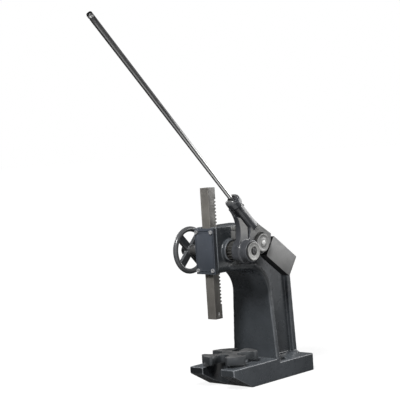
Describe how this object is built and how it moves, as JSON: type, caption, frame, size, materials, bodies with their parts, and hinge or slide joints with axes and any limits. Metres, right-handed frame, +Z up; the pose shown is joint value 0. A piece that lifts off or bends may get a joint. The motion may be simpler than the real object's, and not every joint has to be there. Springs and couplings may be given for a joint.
{
  "type": "arbor press",
  "caption": "Bench arbor press with a C-frame, square rack ram, handwheel and a ratcheting counterweighted lever that presses parts over a rotating notched table plate",
  "frame": {"origin": "centre of the four bench bolt holes, on the underside of the base", "axes": "+X to the lever side, -Y to the front where the user stands, +Z up"},
  "size_m": [0.3824, 1.2233, 1.5168],
  "materials": {
    "painted_casting": "satin charcoal paint over sand casting",
    "grey_iron": "grey machined and cast iron, light oil film",
    "worn_iron": "dark iron worn bright on its top",
    "bare_steel": "milled bare steel",
    "bright_steel": "bright machined steel",
    "dark_steel": "black oxide steel",
    "polished_rod": "polished dark steel bar",
    "bronze": "bearing bronze"
  },
  "bodies": {
    "frame": {"frame_casting": "painted_casting", "front_cover_plate": "painted_casting", "cover_screws": "bright_steel", "side_gib": "bronze", "gib_screws": "dark_steel", "gib_lock_nuts": "bright_steel", "right_bearing": "bronze", "left_bush": "bronze", "bearing_set_screws": "dark_steel", "table_pivot_pin": "dark_steel"},
    "table": {"table_plate": "worn_iron"},
    "ram": {"ram": "bare_steel", "tool_set_screw": "bright_steel"},
    "shaft": {"pinion_shaft": "bare_steel", "ratchet_wheel": "dark_steel", "ratchet_key": "bare_steel", "handwheel": "painted_casting", "handwheel_key": "bare_steel", "handwheel_set_screw": "dark_steel", "end_cap": "grey_iron", "end_cap_screw": "dark_steel"},
    "lever": {"lever_head": "grey_iron", "lever_bush": "bronze", "lever_rod": "polished_rod", "rod_set_screw": "dark_steel", "counterweight": "grey_iron", "counterweight_bolts": "dark_steel"},
    "pawl": {"pawl": "grey_iron", "pawl_shaft": "bright_steel", "pawl_knob": "grey_iron"}
  },
  "joints": [
    {"name": "ram_slide", "type": "slide", "parent": "frame", "child": "ram", "axis": [0, 0, 1], "range_m": [-0.14844, 0.17813]},
    {"name": "shaft_turn", "type": "hinge", "parent": "frame", "child": "shaft", "pos_m": [0, -0.32488, 0.565], "axis": [1, 0, 0], "range_deg": [-325, 271]},
    {"name": "lever_swing", "type": "hinge", "parent": "frame", "child": "lever", "pos_m": [0, -0.32488, 0.565], "axis": [1, 0, 0], "range_deg": [-36, 72]},
    {"name": "pawl_turn", "type": "hinge", "parent": "lever", "child": "pawl", "pos_m": [0.1, -0.23378, 0.58975], "axis": [1, 0, 0], "range_deg": [-20, 8]},
    {"name": "table_turn", "type": "hinge", "parent": "frame", "child": "table", "pos_m": [0, -0.3, 0.1], "axis": [0, 0, 1], "continuous": true}
  ],
  "couplings": [
    {"joint": "shaft_turn", "follows": "ram_slide", "rad_per_m": -31.746}
  ]
}
